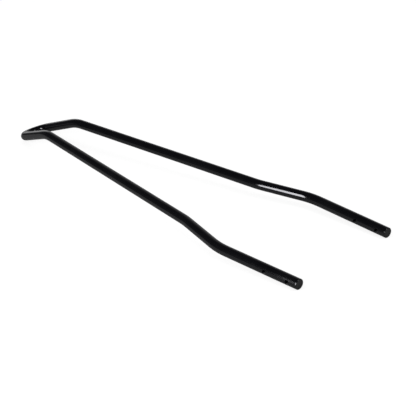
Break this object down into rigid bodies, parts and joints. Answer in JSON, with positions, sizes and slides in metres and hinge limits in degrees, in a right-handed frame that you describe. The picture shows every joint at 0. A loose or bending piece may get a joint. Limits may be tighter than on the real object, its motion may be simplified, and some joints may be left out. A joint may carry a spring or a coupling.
{
  "type": "sissy bar",
  "caption": "Tall tapering hoop of bent round bar with a kicked-back head and cross-drilled legs, bolted beside a motorcycle's rear fender to carry a backrest or luggage.",
  "frame": {"origin": "under the middle of the bar's box, on the table that it lies on", "axes": "+X runs along the bar from the arch to the drilled leg ends, +Y goes across it to the rider's left leg of the bar, +Z points up from the table; installed, the bar stands with -X up and -Z to the rear"},
  "size_m": [0.7576, 0.2128, 0.0478],
  "materials": {
    "gloss_black_paint": "gloss"
  },
  "bodies": {
    "root": {"bar": "gloss_black_paint"}
  },
  "joints": []
}
